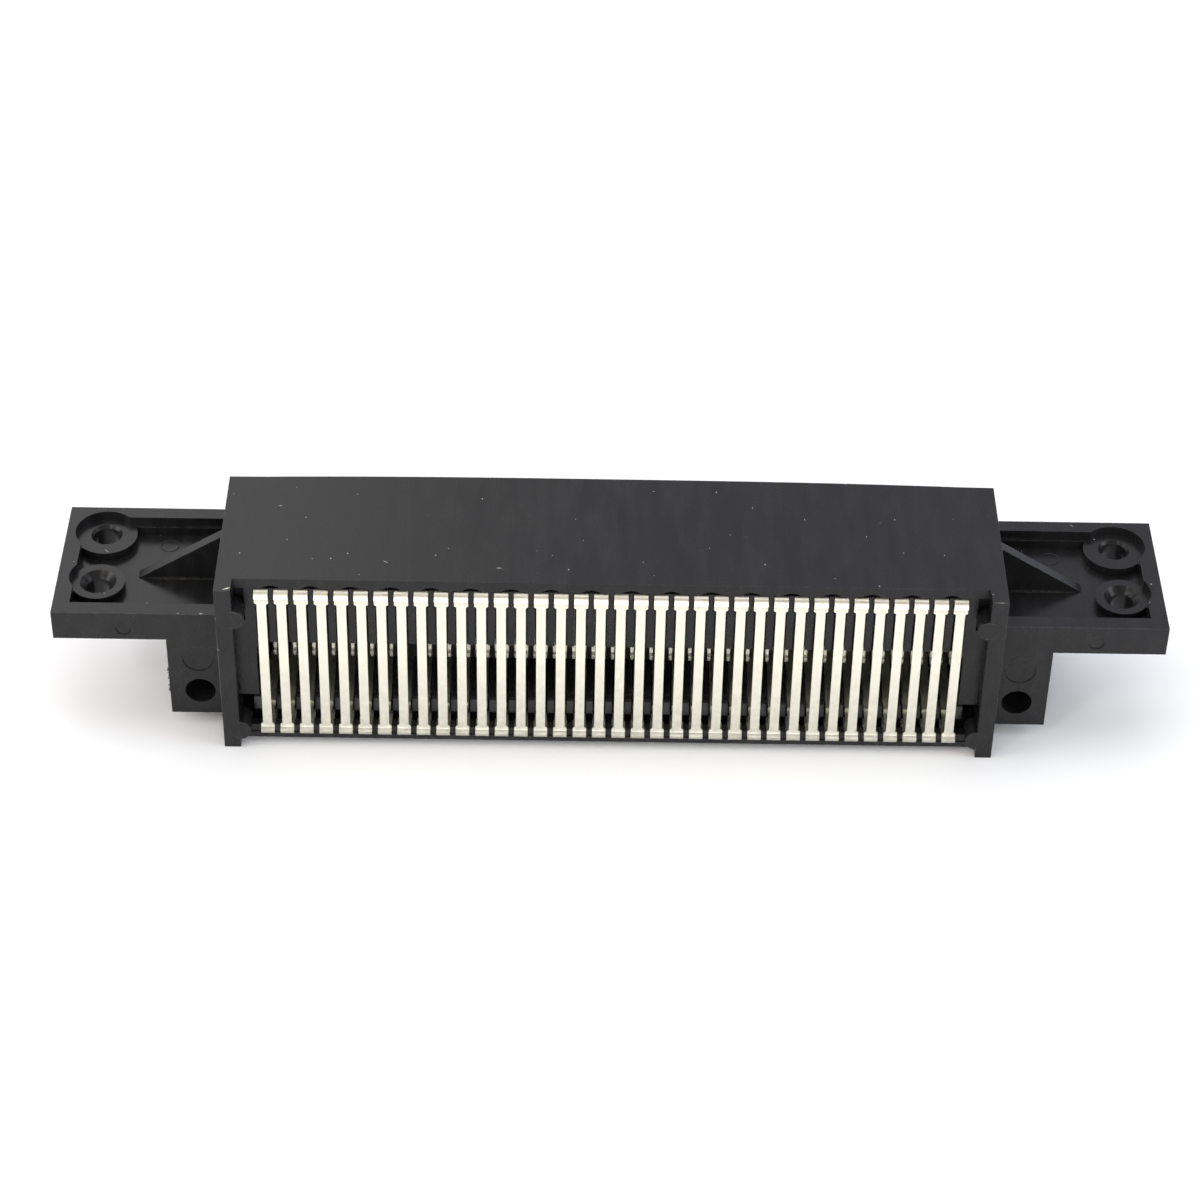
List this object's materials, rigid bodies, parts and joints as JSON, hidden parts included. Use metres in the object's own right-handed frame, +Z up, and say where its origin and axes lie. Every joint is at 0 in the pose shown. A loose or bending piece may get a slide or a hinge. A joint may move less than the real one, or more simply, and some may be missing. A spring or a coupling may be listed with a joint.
{
  "type": "cartridge slot connector",
  "caption": "Card-edge connector that folds a cartridge slot's spring contacts round to a main board slot below, in a black body with screw wings.",
  "frame": {"origin": "middle of the footprint, on the surface that the end plates stand on", "axes": "+X along the contact row, +Y from the contacts' backs towards the mouths of the two slots, +Z up"},
  "size_m": [0.1414, 0.026, 0.026],
  "materials": {
    "housing_plastic": "satin black moulding",
    "outer_strip": "bright tin plate on rolled strip",
    "inner_strip": "bright tin plate on rolled strip"
  },
  "bodies": {
    "root": {"housing": "housing_plastic", "outer_contact_01": "outer_strip", "outer_contact_02": "outer_strip", "outer_contact_03": "outer_strip", "outer_contact_04": "outer_strip", "outer_contact_05": "outer_strip", "outer_contact_06": "outer_strip", "outer_contact_07": "outer_strip", "outer_contact_08": "outer_strip", "outer_contact_09": "outer_strip", "outer_contact_10": "outer_strip", "outer_contact_11": "outer_strip", "outer_contact_12": "outer_strip", "outer_contact_13": "outer_strip", "outer_contact_14": "outer_strip", "outer_contact_15": "outer_strip", "outer_contact_16": "outer_strip", "outer_contact_17": "outer_strip", "outer_contact_18": "outer_strip", "outer_contact_19": "outer_strip", "outer_contact_20": "outer_strip", "outer_contact_21": "outer_strip", "outer_contact_22": "outer_strip", "outer_contact_23": "outer_strip", "outer_contact_24": "outer_strip", "outer_contact_25": "outer_strip", "outer_contact_26": "outer_strip", "outer_contact_27": "outer_strip", "outer_contact_28": "outer_strip", "outer_contact_29": "outer_strip", "outer_contact_30": "outer_strip", "outer_contact_31": "outer_strip", "outer_contact_32": "outer_strip", "outer_contact_33": "outer_strip", "outer_contact_34": "outer_strip", "outer_contact_35": "outer_strip", "outer_contact_36": "outer_strip", "inner_contacts_01_02": "inner_strip", "inner_contacts_03_04": "inner_strip", "inner_contacts_05_06": "inner_strip", "inner_contacts_07_08": "inner_strip", "inner_contacts_09_10": "inner_strip", "inner_contacts_11_12": "inner_strip", "inner_contacts_13_14": "inner_strip", "inner_contacts_15_16": "inner_strip", "inner_contacts_17_18": "inner_strip", "inner_contacts_19_20": "inner_strip", "inner_contacts_21_22": "inner_strip", "inner_contacts_23_24": "inner_strip", "inner_contacts_25_26": "inner_strip", "inner_contacts_27_28": "inner_strip", "inner_contacts_29_30": "inner_strip", "inner_contacts_31_32": "inner_strip", "inner_contacts_33_34": "inner_strip", "inner_contacts_35_36": "inner_strip"}
  },
  "joints": []
}
